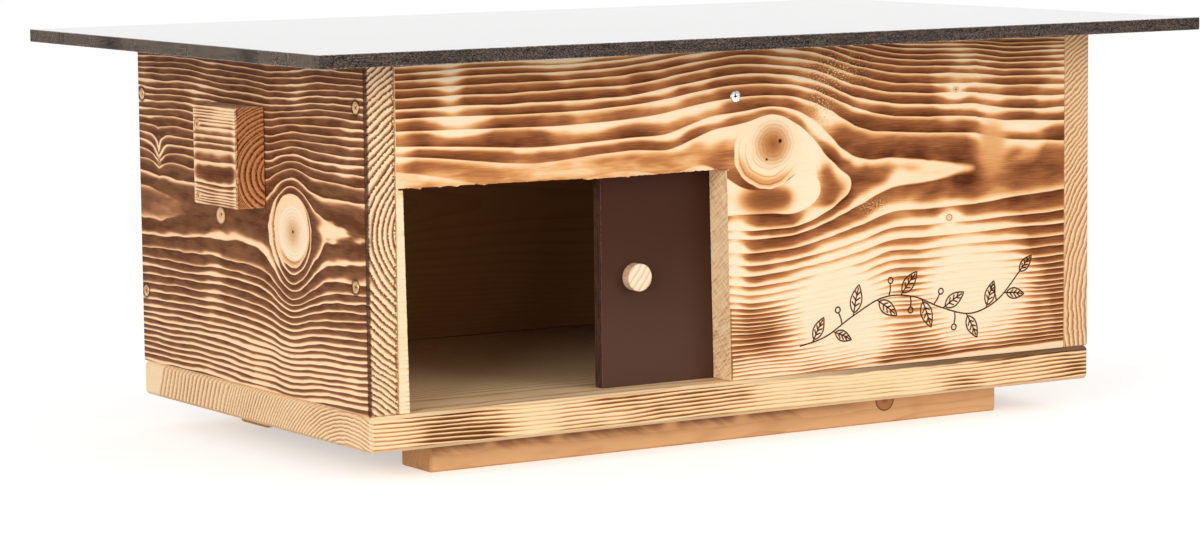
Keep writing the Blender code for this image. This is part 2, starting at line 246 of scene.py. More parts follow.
bareTones = {
    "pale": ((0, (252, 222, 186)), (0.55, (240, 204, 164)), (1, (204, 154, 108))),
    "sawn": ((0, (252, 218, 178)), (0.5, (242, 202, 158)), (1, (204, 158, 116))),
    "floor": ((0, (255, 226, 184)), (0.55, (248, 210, 160)), (1, (206, 154, 102))),
    # painted shade: dark brown tones for the inside of the back board, standing for the shade inside the
    # closed box
    "inside": ((0, (188, 136, 88)), (0.5, (178, 126, 80)), (1, (150, 102, 62))),
    "batten": ((0, (240, 190, 136)), (0.5, (230, 176, 122)), (1, (190, 132, 80))),
}

anyBoard = {  # what a board has unless its own values say otherwise
    "knots": (), "span": (-20, 640), "tilt": 0, "calm": (20, 44), "still": 0.35,
    "tones": "side", "flame": (0.22, 0.62), "burn": (0.26, 0.74), "cloud": 0.38, "fade": 0.4,
    "toast": 0.03, "reach": 0.38, "edge": 0.12,
    "stains": (), "collars": (), "speckle": (), "rims": (), "faces": (),
    "bareTones": "pale", "bareLines": 1,
    "endTones": "walls", "endThin": 0.84, "endNicks": 0.3, "endTorn": 0,
}


def counted(first, *spots):  # year rings counted one by one, from the first number on
    return [(spot, first + n) for n, spot in enumerate(spots)]


def pushedBy(f, along, across, knots):  # each knot shoves the grain aside
    for middle, height, radius in knots:
        du = along - middle
        dv = across - height
        squared = f.larger(du * du + dv * dv, 0.01)
        share = f.root(f.larger(1 - (radius * radius) / squared, 0))
        along = du * share + middle
        across = dv * share + height
    return along, across


def treeRings(f, place, g):
    along, across, depth = place
    su, sv = pushedBy(f, along, across, g["knots"])
    start, end = g["span"]
    stops = []
    for spot, *levels in g["course"]:
        stops.append(((spot - start) / (end - start), [level / 300 for level in (*levels, 0)[:3]]))
    course = f.ramp((su - start) / (end - start), stops, "CARDINAL")
    axis, pith, lift = [level * 300 for level in f.parts(course, "ShaderNodeSeparateColor")]
    off = sv - axis
    if "lifted" in g:  # the outer rings still rise over a knot that the inner ones have passed
        off = off - lift * f.rise(*g["lifted"], off)
    if "settled" in g:  # far below the knot the rings run level again
        near, far, level, slope = g["settled"]
        off = off + (axis - along * slope - level) * f.rise(near, far, off)
    wander = f.noise(along / 110, across / 60, depth / 60, 1) - 0.5
    off = off + wander * f.rise(14, 55, f.size(off)) * g["wander"]
    deep = pith - depth * g["lean"]
    distance = f.root(deep * deep + off * off) - depth * g["tilt"]
    ripple = f.noise(along / 60, across / 16, depth / 16, 1) - 0.5
    tremor = f.noise(along / 24, across / 6, depth / 6, 1) - 0.5
    calm = f.rise(*g["calm"], distance) * (1 - g["still"]) + g["still"]
    return distance + (ripple + tremor * 0.55) * calm * g["ripple"], off


def ringNumber(f, distance, table, most=90, inner=10):  # counted from so many rings inside the first
    start, end = table[0][0], table[-1][0]
    stops = [((spot - start) / (end - start), [(number + inner) / most] * 3) for spot, number in table]
    return f.ramp((distance - start) / (end - start), stops) * most - inner


def fibres(f, place, coarse=1.0):
    along, across, depth = place
    return f.noise(along / 16 / coarse, across / 0.8 / coarse, depth / 0.8 / coarse, 2, 0.6) - 0.5


def scorch(f, place, g):  # how long the flame stayed on each spot
    along, across, depth = place
    torch = f.noise(along / 62 + g["seed"], across / 75, depth / 30, 1.5)
    lick = f.noise(along / 26 + g["seed"], across / 14, depth / 14, 1)
    amount = f.rise(*g["flame"], torch * 0.7 + lick * 0.3)
    for *spot, gain in g["patches"]:
        amount = amount + f.bell(f.away(place, *spot)) * gain
    return f.larger(f.math("MINIMUM", amount, 1), -1.2)


def burnt(f, ring, amount, g):  # hard edge just after the old hard line, thinning out toward the next
    share = f.math("FRACT", ring)
    luck = f.dice(f.math("FLOOR", ring)) - 0.5
    hold = f.larger(amount, 0) * g["reach"] + luck * 0.14 + 0.26
    soft = f.rise(hold + 0.32 - amount * 0.06, hold - 0.14, share)
    return soft * f.rise(0, g["edge"], share), share


# A knot's face: its middle, its size, how many year rings, how strongly they show and in which tone,
# its pith (spot and radius), its rim, how uneven it is, and its tones from the middle outward

def knotFace(f, colour, place, face):
    middle, size, rings, ringing, ringTone, (pithAt, pithUp, pithSize), rim, uneven, tones = face
    along, across, depth = place
    du, dv = f.offset(place, *middle)
    away = f.away(place, *middle, *size)
    away = away + (f.noise(along / 7, across / 7, middle[0], 1) - 0.5) * uneven
    streak = f.noise(along / 1.1, across / 1.1, middle[1])
    wood = f.tint(away, tones)
    wood = f.mix((f.wave(away * rings) * 0.5 + 0.5) * streak * ringing, wood, ringTone)
    spin = f.noise(du / (away + 0.05) / 5, dv / (away + 0.05) / 5, away * 1.5, 2, 0.6)
    crack = f.rise(0.52, 0.66, spin) * f.rise(0.75, 0.15, away) * ringing
    wood = f.mix(crack * 0.7, wood, ringTone)
    dot = f.rise(1, 0.55, f.away(place, pithAt, pithUp) / pithSize)
    wood = f.mix(dot, wood, (52, 28, 16))
    return f.mix(f.rise(1, rim, away), colour, wood)


def bareWood(f, share, streak, tones, strength=1):
    line = f.rise(0.45, 0.97, share) * f.rise(1, 0.985, share)
    return f.tint(line * (0.75 * strength) + streak * (0.5 * strength) + 0.18, bareTones[tones])


def endGrain(f, place, share, amount, g):
    along, across, depth = place
    nick = f.noise(across / 1.9 + depth / 3.2, across / 4.4 - depth / 1.6, along / 9, 2, 0.8) - 0.5
    torn = share + nick * g["endTorn"]  # the saw frays the ring lines
    dark = f.rise(g["endThin"], 0.1, torn) * f.rise(0, 0.1, torn)
    heat = dark * (f.larger(amount, -0.4) * 0.25 + g["endBurn"]) + nick * (dark * g["endNicks"] + 0.5) + 0.02
    if "sawn" in g:  # the saw left slanting scratches, crossing each other
        for lean in (0.7, -0.9):
            mark = f.noise(across + depth * lean, depth / 12, lean, 1)
            heat = heat + (mark - 0.5) * g["sawn"] + 0.11
    if "teeth" in g:  # torn notches along one edge
        notch = f.noise(across / 1.7, 2, depth / 3, 1)
        heat = heat + f.rise(0.48, 0.6, notch) * f.rise(*g["teeth"], depth)
    return f.tint(heat, endTones[g["endTones"]])


def flamed(name, board):
    g = {**anyBoard, **board}
    f = Finish(name, specular=0.05)
    place = along, across, depth = g["place"](*f.millimetres())
    facing = dict(zip("xyz", f.facing()))

    distance, off = treeRings(f, place, g)
    if "dip" in g:
        spot, height, wide, tall, drop = g["dip"]
        du, dv = f.offset(place, spot, height, wide, tall)
        distance = distance + f.decay(f.size(du)) * f.bell(dv) * drop
    ring = ringNumber(f, distance, g["ringAt"])
    if "crowd" in g:
        near, far, after, gain = g["crowd"]
        ring = ring + f.rise(near, far, -off) * f.larger(distance - after, 0) * gain

    amount = scorch(f, place, g)
    burn, share = burnt(f, ring, amount, g)
    streak = fibres(f, place)
    gain, base = g["burn"]
    cloud = f.noise(along / 20 + g["seed"], across / 7, depth / 7) - 0.5
    char = f.clip(amount * gain + base + cloud * g["cloud"] - share * g["fade"])
    heat = burn * char + streak * (burn * 0.24 + 0.12) + f.clip(amount) * g["toast"]
    if "wash" in g:  # a long lick of flame straight across the rings
        level, tall, until, fade, low, high = g["wash"]
        band = f.bell((across - level) / tall) * f.rise(until, until - fade, along)
        drift = f.rise(0.3, 0.7, f.noise(along / 34, across / 10, 5))
        heat = f.between(heat, drift * (high - low) + low + streak * 0.25, band * 0.85)
    for *spot, level in g["stains"]:  # flame held still on one place
        away = f.away(place, *spot)
        heat = f.between(heat, streak * 0.2 + level, f.bell(away * away) * 0.9)
    for *spot, rings in g["collars"]:  # pale wood that grew round a knot
        du, dv = f.offset(place, *spot)
        away = f.away(place, *spot) + (f.noise(along / 13, across / 13, 3, 1) - 0.5) * 0.1
        lines = f.rise(0.6, 1, f.wave(away * rings)) * f.rise(0.2, -0.7, dv + du * 0.5)
        hollow = f.bell((away - 0.8) / 0.12) * f.rise(-0.1, -0.8, dv + du * 0.3)
        heat = f.between(heat, lines * 0.22 + hollow * 0.36 + streak * 0.12 + 0.04, f.rise(1, 0.965, away))

    colour = f.tint(heat, flameTones[g["tones"]])
    for spot, height, wide, tall, lean in g["speckle"]:
        du = (along - spot) / wide
        dv = (across - height + du * lean) / tall
        cover = f.decay(du * du + dv * dv)
        grit = f.noise(along / 1.5, across / 1.1, 2, 1)
        colour = f.mix(f.rise(0.54, 0.64, grit) * cover * 0.8, colour, (250, 206, 142))
        colour = f.mix(f.rise(0.42, 0.33, grit) * cover * 0.5, colour, (96, 52, 26))
    for spot in g["rims"]:  # scorched rim of a screw hole
        rim = f.bell((f.away(place, *spot) - 4.6) / 1.5)
        colour = f.mix(rim * 0.85, colour, (62, 34, 20))
    for face in g["faces"]:
        colour = knotFace(f, colour, place, face)

    height = share * 0.5
    if "flamedWay" in g:  # the side that the flame went over, bare wood elsewhere
        axis, side = g["flamedWay"]
        covered = f.rise(0.62, 0.94, facing[axis] * side if side else f.size(facing[axis]))
        colour = f.mix(covered, bareWood(f, share, streak, g["bareTones"], g["bareLines"]), colour)
        height = height * covered
    endwise = f.rise(0.55, 0.8, f.size(facing[g["grainWay"]]))
    colour = f.mix(endwise, colour, endGrain(f, place, share, amount, g))
    if "soot" in g:  # the arris where the flame bit deepest
        ragged = (f.noise(across / 3.4, across / 1.3, 1, 2, 0.7) - 0.5) * 3.6
        corner = f.root(along * along + depth * depth) + ragged
        colour = f.mix(f.rise(g["soot"], 1.1, corner) * 0.92, colour, (66, 30, 12))
    if "joint" in g:  # flame driven along the joint above
        lick = f.noise(along / 26, 4, depth / 9)
        upper = f.rise(20.4, 21.8, depth + (lick - 0.5) * 3.4)
        colour = f.mix(upper * f.rise(*g["joint"], along) * 0.85, colour, (84, 40, 16))
    return f.paint(colour, roughness=0.6 - share * 0.12, height=height + streak * 0.6, depth=0.28)


# Front board: a large knot at mid-height, and to its right the grain opens in a long pale tongue

frontBoard = {
    "place": lambda x, y, z: (x + 300, z - 44.3, y + 170),
    "flamedWay": ("y", -1), "grainWay": "x",
    "knots": ((320, 164, 19),),
    "course": (  # spot, height of the pith, its depth, and how far the outer rings are lifted
        (0, 134.6, 50.3, 9.4), (110, 134.4, 54.8, 13.4), (200, 138.7, 54.4, 9.8), (235, 139.6, 55.3, 12.7),
        (265, 135.7, 53.9, 18.3), (295, 130, 55.1, 26.8), (320, 130.2, 55.1, 24.7),
        (340, 132.8, 54.3, 19.7), (357, 133.5, 55.9, 17.4), (371, 133.6, 57.7, 15),
        (384, 134.1, 59.1, 11.8), (400, 135.8, 60.2, 7.9), (420, 139.6, 60.8, 1.2), (450, 139, 61.2),
        (460, 139, 61.34), (475, 138.9, 61.56), (485, 138.7, 61.67), (491, 138.5, 61.73), (497, 138.3, 62),
        (520, 137, 63.3), (570, 136.5, 64.3), (620, 138.1, 65.3),
    ),
    "lifted": (6, 54), "settled": (-62, -112, 133, 0.008),
    "lean": 0.8, "wander": 2.5, "ripple": 1.8, "calm": (60, 84), "still": 0.1,
    "ringAt": (
        (48, -1.5), *counted(
            -1, 52.6, 55.9, 59.1, 61.6, 66.7, 72.1, 76.8, 82.1, 86.9, 91.6, 95.5, 99.2, 102.2, 105.4, 108,
            110.1, 112.7, 116.5, 120.5, 123.9, 126.8, 129.8, 132.7, 135.1, 137.4, 140, 142.6, 145.1,
        ),
    ),
    "seed": 0, "tones": "front", "flame": (0.2, 0.58), "burn": (0.46, 0.45), "cloud": 0.34,
    "toast": 0.075, "reach": 0.5, "edge": 0.05,
    "patches": (  # spot, height, width, height of the patch, more or less flame
        (38, 200, 15, 60, 0.4), (64, 214, 9, 24, -1), (74, 189, 20, 9, -1.1), (118, 190, 26, 16, 0.5),
        (172, 182, 16, 9, -0.8), (235, 189, 48, 8, -0.5), (180, 234, 120, 8, -0.8), (120, 208, 70, 9, 0.4),
        (362, 176, 13, 11, -1.4), (348, 140, 11, 24, -3.2), (318, 181, 26, 6, -0.9), (395, 187, 14, 5, -0.5),
        (478, 194, 7, 5, -1.3), (536, 165, 24, 5, -0.8), (512, 150, 16, 28, -0.95), (288, 92, 8, 42, -1.3),
        (418, 112, 14, 5, -0.5), (410, 94, 46, 12, -0.5), (500, 98, 34, 8, -0.4), (473, 104, 7, 6, -1.2),
        (567, 80, 22, 60, 0.9), (376, 46, 43, 34, -3), (497, 50, 42, 33, -3), (438, 40, 12, 40, 0.2),
        (316, 36, 28, 13, 0.45), (470, 6, 104, 6, 0.7), (25, 80, 9, 90, -1.6), (450, 215, 60, 14, 0.15),
        (548, 152, 22, 16, -0.4), (572, 140, 14, 20, 0.4), (340, 100, 40, 16, 0.3),
        (308, 60, 34, 7, -0.62), (312, 7, 36, 9, -0.8), (490, 150, 100, 26, 0.2),
    ),
    "wash": (154, 9, 284, 30, 0.08, 0.5),
    "stains": (
        (314, 127, 22, 9.5, 0.84), (511, 152, 13, 20, 0.36), (284.7, 12, 0.9, 13, 0.8),
        (284.1, 38, 0.7, 15, 0.7), (25, 70, 4.5, 84, 0.07),
    ),
    "collars": ((316, 159, 29, 25.5, 5),),
    "speckle": ((361, 190, 10, 12, 0.9), (372, 213, 24, 11, 0.3), (406, 116, 12, 5, 0)),
    "faces": (
        ((320, 164.5), (22, 21), 8, 0.55, (176, 104, 54), (326, 166.5, 1.9), 0.55, 0.1, (
            (0, (150, 88, 46)), (0.2, (180, 116, 66)), (0.42, (216, 158, 102)), (0.62, (238, 196, 148)),
            (0.84, (250, 222, 182)), (1, (253, 230, 196)),
        )),
        ((314.7, 154.2), (2, 1.6), 1, 0, (146, 98, 62), (314.7, 154.2, 0.9), 0.4, 0.1, (
            (0, (120, 74, 44)), (1, (216, 166, 118)),
        )),
        ((478.4, 195.5), (4.4, 3), 2, 0.3, (170, 116, 70), (478.4, 195.5, 0.7), 0.5, 0.1, (
            (0, (220, 170, 118)), (1, (250, 214, 164)),
        )),
        ((472.6, 104.3), (5, 4.4), 1, 0.2, (190, 136, 86), (472.6, 104.3, 0.3), 0.8, 0.1, (
            (0, (238, 198, 150)), (0.34, (250, 220, 176)), (0.46, (150, 100, 60)), (0.6, (250, 222, 180)),
            (1, (253, 228, 190)),
        )),
    ),
    "bareTones": "sawn", "endTones": "jamb", "endBurn": 0.04, "endNicks": 0.2, "sawn": 1.3,
}

# Left wall, as seen from its own side: along is the distance from the front

leftWall = {
    "place": lambda x, y, z: (y + 170, z - 44.3, x + 300),
    "flamedWay": ("x", -1), "grainWay": "y",
    "knots": ((103, 116, 22), (210.7, 118, 5.5)),
    "span": (-20, 360),
    "course": (
        (0, 121, 37.4), (11, 120.6, 37), (30, 120.2, 36.92), (48, 119.4, 36.8, 0.5), (68, 117.5, 36.2, 2),
        (86, 114.6, 33.2, 4.5), (103, 112, 28, 7), (116, 112.6, 31, 5.5), (125, 113.6, 34.6, 4),
        (132, 114.6, 37.2, 3), (142, 116, 38.6, 1.5), (165, 117.4, 39.2), (200, 118, 39.2),
        (240, 118, 38.4), (265, 118, 37.5), (300, 118, 36), (340, 118, 35),
    ),
    "lifted": (-24, -66), "lean": 0.6, "tilt": 0.45, "wander": 8, "ripple": 2.6,
    "dip": (307.5, 157, 8, 13, 7.5),
    "ringAt": (
        (0, -8), (14, -4.6), (18, -3.5), (22, -2.5), (26, -1.5), (29.5, -0.7), (32.5, 0.1),
        *counted(1, 37, 41.9, 48, 53, 57.5, 62, 67, 72, 77, 82, 86.4, 90.6, 95, 99), (130, 21.6),
    ),
    "seed": 4, "flame": (0.16, 0.52), "burn": (0.24, 0.76), "cloud": 0.62, "fade": 0.24,
    "toast": 0.02, "reach": 0.52, "edge": 0.09,
    "patches": (
        (300, 118, 60, 9, -0.3), (34, 120, 36, 3, -0.8), (112, 116, 22, 20, -0.5),
        (120, 20, 220, 34, -0.8), (240, 150, 90, 50, 0.4), (150, 100, 60, 7, -0.5), (307, 155, 9, 12, -1),
        (130, 110, 7, 22, -1.2), (175, 187, 38, 5, 0.8), (138, 155, 6, 30, 0.5),
    ),
    "wash": (119, 9, 226, -50, 0.44, 0.92),
    "collars": ((105, 116, 26, 25.5, 1),),
    "speckle": ((131, 110, 4.5, 17, 0),),
    "faces": (
        ((103, 115), (22, 20), 8, 0.32, (196, 148, 104), (103, 115.5, 1.5), 0.95, 0.06, (
            (0, (206, 150, 104)), (0.3, (234, 190, 146)), (0.55, (248, 220, 184)),
            (0.86, (254, 232, 198)), (0.97, (250, 220, 180)), (1, (206, 150, 106)),
        )),
        ((210.7, 118), (7.2, 6.4), 2, 0.3, (190, 130, 84), (209.4, 119, 1.2), 0.7, 0.1, (
            (0, (222, 168, 116)), (0.6, (246, 208, 160)), (1, (226, 176, 130)),
        )),
        ((307.4, 150), (3.4, 5), 1, 0.2, (190, 130, 84), (307.4, 148, 0.9), 0.3, 0.1, (
            (0, (150, 96, 58)), (0.5, (214, 158, 110)), (1, (246, 206, 160)),
        )),
    ),
    "soot": 2.9, "teeth": (18.6, 20.8),
    "endThin": 0.72, "endBurn": 0.92, "endNicks": 1.9, "endTorn": 0.9,
}

# Right wall: its pith lay outside the board, so its rings run slantwise across the end

rightWall = {
    "place": lambda x, y, z: (y + 170, z - 44.3, 300 - x),
    "flamedWay": ("x", 1), "grainWay": "y",
    "knots": ((232, 150, 13), (86, 62, 9)),
    "span": (-20, 360),
    "course": ((0, 30, 120), (120, 34, 118), (240, 28, 122), (340, 32, 120)),
    "lean": -1, "wander": 10, "ripple": 3.4,
    "ringAt": ((0, 0), (110, 26), (130, 31), (150, 36), (180, 45), (220, 58), (260, 72)),
    "seed": 9,
    "patches": ((180, 60, 60, 40, -0.4),),
    "faces": (
        ((232, 150), (14, 13), 6, 0.35, (180, 128, 86), (233, 150.6, 1.3), 0.9, 0.1, (
            (0, (190, 134, 90)), (0.3, (228, 182, 136)), (0.8, (250, 222, 184)), (1, (206, 150, 106)),
        )),
        ((86, 62), (9.5, 8.5), 4, 0.35, (180, 128, 86), (86.5, 62.4, 1), 0.85, 0.1, (
            (0, (204, 150, 104)), (0.7, (246, 208, 160)), (1, (214, 160, 114)),
        )),
    ),
    "endTones": "pale", "endBurn": 0.6, "endNicks": 0.45,
}

# Back board

backBoard = {
    "place": lambda x, y, z: (x + 300, z - 44.3, 170 - y),
    "flamedWay": ("y", 1), "grainWay": "x",
    "knots": ((170, 120, 15), (430, 70, 10)),
    "course": (
        (0, 100, 40), (120, 104, 36), (170, 106, 30), (230, 104, 38), (380, 96, 44), (430, 92, 40),
        (500, 96, 46), (620, 98, 48),
    ),
    "lean": 0.9, "wander": 9, "ripple": 3,
    "ringAt": ((0, -6), *counted(-1, 26, 32, 39, 45, 51, 57, 62, 68, 73, 79, 84, 90), (130, 19)),
    "crowd": (20, 70, 60, 0.1), "seed": 14,
    "patches": ((300, 180, 90, 30, -0.4), (520, 60, 60, 40, -0.4)),
    "faces": (
        ((170, 120), (16, 15), 7, 0.35, (180, 128, 86), (171, 121, 1.4), 0.9, 0.1, (
            (0, (176, 122, 82)), (0.3, (220, 172, 126)), (0.8, (250, 220, 180)), (1, (206, 150, 106)),
        )),
        ((430, 70), (10.5, 9.5), 4, 0.35, (180, 128, 86), (430.5, 70.4, 1), 0.85, 0.1, (
            (0, (204, 150, 104)), (0.7, (246, 208, 160)), (1, (214, 160, 114)),
        )),
    ),
    # painted shade: the bare inner faces take the dark inside tones with faint lines, for the shade inside
    # the box
    "bareTones": "inside", "bareLines": 0.5, "endBurn": 0.3,
}

# Floor board: flat-sawn, so its front edge shows fine level lines

floorBoard = {
    "place": lambda x, y, z: (x + 300, y + 171, z - 22),
    "flamedWay": ("y", 0), "grainWay": "x",
    "course": ((0, 30, 79), (150, 34, 80), (300, 30, 79), (450, 36, 77), (620, 40, 73)),
    "lean": -1, "wander": 5, "ripple": 1.6,
    "ringAt": ((0, 0), (70, 22), (85, 27.4), (100, 33), (140, 48), (200, 66), (300, 84)),
    "seed": 21, "tones": "edge", "flame": (0.36, 0.74), "burn": (0.56, 0.56), "toast": 0.06,
    "reach": 0.4, "edge": 0.06,
    "patches": (
        (64, 0, 30, 60, 0.8), (118, 0, 22, 60, -1.1), (170, 0, 24, 60, -0.2), (240, 0, 50, 60, 0.4),
        (345, 0, 40, 60, -0.9), (430, 0, 46, 60, -0.7), (520, 0, 50, 60, 0.1), (590, 0, 22, 60, 0.3),
    ),
    "joint": (250, 470), "bareTones": "floor", "endBurn": 0.45,
}

# Handle blocks: end grain to the front, with the pith at the back of the block

handleBlock = {
    "grainWay": "y", "span": (100, 260),
    "course": ((100, 32.9, 30), (170, 33.1, 29.9), (260, 32.9, 30)),
    "lean": 1, "wander": 1.2, "ripple": 0.9, "calm": (5, 12),
    "ringAt": (
        (0, -4), (8, -1.8), (14, 0), (19, 1.2), (23.6, 2.3), (27.4, 3.2), (29.8, 4.06),
        *counted(5, 30.8, 34, 36.2, 39.4, 43, 45.6, 47.2, 49.3, 50.8, 52.4, 54.4), (62, 19),
    ),
    "crowd": (5, 8, 30.8, 0.6),
    "tones": "handle", "flame": (0.22, 0.6), "burn": (0.46, 0.48), "toast": 0.06, "reach": 0.46, "edge": 0.06,
    "patches": (
        (173, 33, 20, 5, 0.7), (175, 70, 40, 12, -0.5), (175, 17, 40, 7, -0.4), (141, 38, 5, 60, -1),
        (207, 38, 5, 60, -1), (175, 45, 30, 7, -0.3),
    ),
    "endTones": "red", "endThin": 0.74, "endBurn": 0.86, "endNicks": 2, "teeth": (2.6, 0.3),
}
leftHandle = {**handleBlock, "place": lambda x, y, z: (y + 170, z - 162.3, x + 322.3), "seed": 30}
rightHandle = {**handleBlock, "place": lambda x, y, z: (y + 170, z - 162.3, 322.3 - x), "seed": 33}


# Plain battens: sawn spruce that the flame only licked along the upper edge

battenWood = {
    "years": 3.1,
    "smear": (9, 19),
    "knot": (137.4, 17, 8.2, 8.2),
    "knotTones": (
        (0, (150, 92, 50)), (0.5, (196, 138, 86)), (0.86, (190, 130, 80)), (0.93, (112, 62, 34)),
        (1, (150, 98, 58)),
    ),
    "sawTones": ((0.3, (150, 98, 56)), (0.7, (214, 164, 108))),
}


def battenFinish(name, licked):
    g = battenWood
    f = Finish(name)
    x, y, z = f.millimetres()
    nx, ny, nz = f.facing()
    swell = f.noise(x / 90, y / 30, z / 30, 1) * 9
    deep = y * 0.35 + 90
    across = z * 0.9 + y * 0.22 + 40
    share = f.math("FRACT", (f.root(deep * deep + across * across) + swell) / g["years"])
    streak = fibres(f, (x, y, z), 1.2)
    blotch = f.noise(x / 45, y / 20, z / 14)
    colour = bareWood(f, share, streak, "batten", 0.5)
    colour = f.mix(f.rise(0.45, 0.75, blotch) * 0.35, colour, (190, 130, 78))
    if licked:
        front = f.rise(-0.5, -0.8, ny)
        slant = f.noise((x + z * 1.6) / 7, z / 30, 1)
        where = f.rise(0.3, 0.5, f.noise(x / 30, 2, 7, 1)) * f.rise(140, 40, x)
        smear = f.rise(*g["smear"], z + slant * 6 - 3) * where * front
        colour = f.mix(smear * 0.9, colour, (124, 66, 34))
        away = f.away((x, z), *g["knot"]) + (blotch - 0.5) * 0.12
        colour = f.mix(f.rise(1.04, 0.98, away) * front, colour, f.tint(away, g["knotTones"]))
    saw = f.tint(f.noise(y / 2.4, z, 3), g["sawTones"])
    colour = f.mix(f.rise(0.6, 0.8, f.size(nx)) * 0.45, colour, saw)
    return f.paint(colour, roughness=0.64 - share * 0.08, height=share * 0.3 + streak, depth=0.18)


# Film-faced plywood: a smooth dark film on both faces, and the plies showing on the edges

plywood = {
    "doorPlywood": {
        "thin": "y", "from": -147.2, "film": ((62, 36, 26), (74, 44, 33)), "roughness": 0.5,
        # painted light: the door's film is made lighter toward its foot, for light bounced up from the floor
        "coat": 0, "specular": 0.05, "dust": (165, 50, 0.46, (104, 76, 64)),
        "plies": ((34, 18, 12), (84, 54, 40)), "lines": 0.55, "knocks": (0, 0.06), "worn": 0.25,
    },
    "roofPlywood": {
        "thin": "z", "from": 277.9, "film": ((72, 60, 54), (84, 72, 65)), "roughness": 0.16,
        "coat": 1, "specular": 0.12,
        "plies": ((22, 13, 8), (74, 57, 48)), "lines": 0, "knocks": (0.14, 0.66), "worn": 0.8,
    },
    "ply": 1.5,
    "coatRoughness": 0.12,
}


def plywoodFinish(name):
    g = plywood[name]
    f = Finish(name, g["roughness"], g["specular"])
    f.set("Coat Weight", g["coat"])
    f.set("Coat Roughness", plywood["coatRoughness"])
    x, y, z = f.millimetres()
    facing = dict(zip("xyz", f.facing()))
    thin, long = (y, z) if g["thin"] == "y" else (z, y)
    pressed = f.noise(x / 1.4, y / 1.4, z / 1.4)
    cloudy = f.noise(x / 70, y / 70, z / 70, 3)
    film = f.mix(f.clip(pressed * 0.5 + cloudy * 0.9 - 0.2), *g["film"])
    if "dust" in g:  # painted light: the film is lighter toward the foot, standing in for light bounced up from the floor
        high, low, most, tone = g["dust"]
        film = f.mix(f.rise(high, low, z) * most, film, tone)
    layer = (thin - g["from"]) / plywood["ply"]
    number = f.math("FLOOR", layer)
    share = f.math("FRACT", layer)
    lengthwise = f.noise(x / 14, long / 14, number * 3.7, 3, 0.65)
    crosswise = f.noise(x / 1.1, y / 1.1, z / 0.5, 2, 0.6)
    odd = f.math("FRACT", number / 2) * 2
    grit = f.between(lengthwise, crosswise, odd)
    glue = f.rise(0.1, 0, share) + f.rise(0.92, 1, share)
    light = (f.rise(0.37, 0.64, grit) + odd * g["lines"]) * (1 - glue * 0.8)
    edge = f.mix(light, *g["plies"])
    fleck = f.noise(x / 1.3, y / 1.3, z / 0.35, 1)
    patchy = f.rise(0.3, 0.52, f.noise(x / 50, y / 50, 1))
    knocked = f.size(facing["x"]) * g["knocks"][1] + g["knocks"][0]  # the ends take the knocks
    edge = f.mix(f.rise(0.5, 0.68, fleck) * patchy * knocked, edge, (186, 170, 152))
    onFace = f.rise(0.5, 0.8, f.size(facing[g["thin"]]))
    worn = f.rise(0.5, 0.3, f.size(onFace - 0.45)) * f.rise(0.5, 0.62, fleck) * g["worn"]
    colour = f.mix(worn, f.mix(onFace, edge, film), (206, 196, 184))
    rough = f.between(0.75, pressed * 0.1 + (g["roughness"] - 0.05), onFace)
    if g["coat"]:
        f.set("Coat Weight", onFace * g["coat"])
    return f.paint(colour, rough, height=pressed * onFace * 0.25 + grit * (1 - onFace), depth=0.12)


# Knob: a slice of round spruce, its year rings crossing its face slantwise

knobWood = {
    "years": 4.2,
    "faceTones": (
        (0, (252, 234, 208)), (0.35, (246, 220, 186)), (0.7, (232, 194, 150)), (1, (204, 156, 110)),
    ),
    "sideTones": ((0.3, (184, 136, 92)), (0.7, (236, 198, 152))),
}


def knobFinish(name):
    g = knobWood
    f = Finish(name, 0.5, 0.35)
    x, y, z = f.millimetres()
    nx, ny, nz = f.facing()
    slant = x * 0.8 - z * 0.6
    swell = f.noise(x / 9, y / 9, z / 9, 1) * 1.6
    share = f.math("FRACT", (slant + swell + 300) / g["years"])
    streak = f.noise(slant / 0.5, (x * 0.6 + z * 0.8) / 6, y / 6) - 0.5
    line = f.rise(0.25, 0.95, share) * f.rise(1, 0.96, share)
    face = f.tint(line * 0.6 + streak * 0.6 + 0.14, g["faceTones"])
    side = f.tint(f.noise(x / 0.8, y / 5, z / 0.8), g["sideTones"])
    colour = f.mix(f.rise(-0.75, -0.5, ny) * 0.7, face, side)
    return f.paint(colour, roughness=0.55 - line * 0.1, height=line * 0.4 + streak, depth=0.12)


# Zinc

zinc = {
    "bright_zinc": {"clear": (216, 216, 212), "dull": (140, 140, 138), "roughness": 0.26},
    "yellow_zinc": {"clear": (255, 212, 156), "dull": (230, 172, 112), "roughness": 0.30},
}


def zincFinish(name, g):
    f = Finish(name, g["roughness"], 0.5, metallic=1)
    x, y, z = f.millimetres()
    cloud = f.noise(x / 1.7, y / 1.7, z / 1.7)
    # painted shade: the cross recess is darkened to stand for the shadow inside it
    dirt = f.node("ShaderNodeAttribute", {"attribute_name": "dirt"}, out="Fac")
    colour = f.mix(f.rise(0.35, 0.65, cloud), g["dull"], g["clear"])
    colour = f.mix(f.rise(0.1, 0.9, dirt) * 0.9, colour, (58, 40, 26))
    return f.paint(colour, roughness=cloud * 0.24 + (g["roughness"] - 0.08), height=cloud, depth=0.04)


# Lines drawn with a hot iron

def ironFinish(name):
    f = Finish(name, 0.9, 0)
    x, y, z = f.millimetres()
    tone = f.noise(x / 3, y, z / 3)
    return f.paint(f.tint(tone, ((0.3, (58, 28, 8)), (0.7, (108, 60, 24)))), height=tone, depth=0.05)


def screwSpots(face):  # where screw heads sit in one side of the box
    spots = []
    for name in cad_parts:
        if "screw" in name:
            low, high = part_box(name)
            if min(abs(low[0] - face), abs(high[0] - face)) < 0.001:
                x, y, z = [(a + b) * 500 for a, b in zip(low, high)]
                spots.append((y + 170, z - 44.3))
    return spots


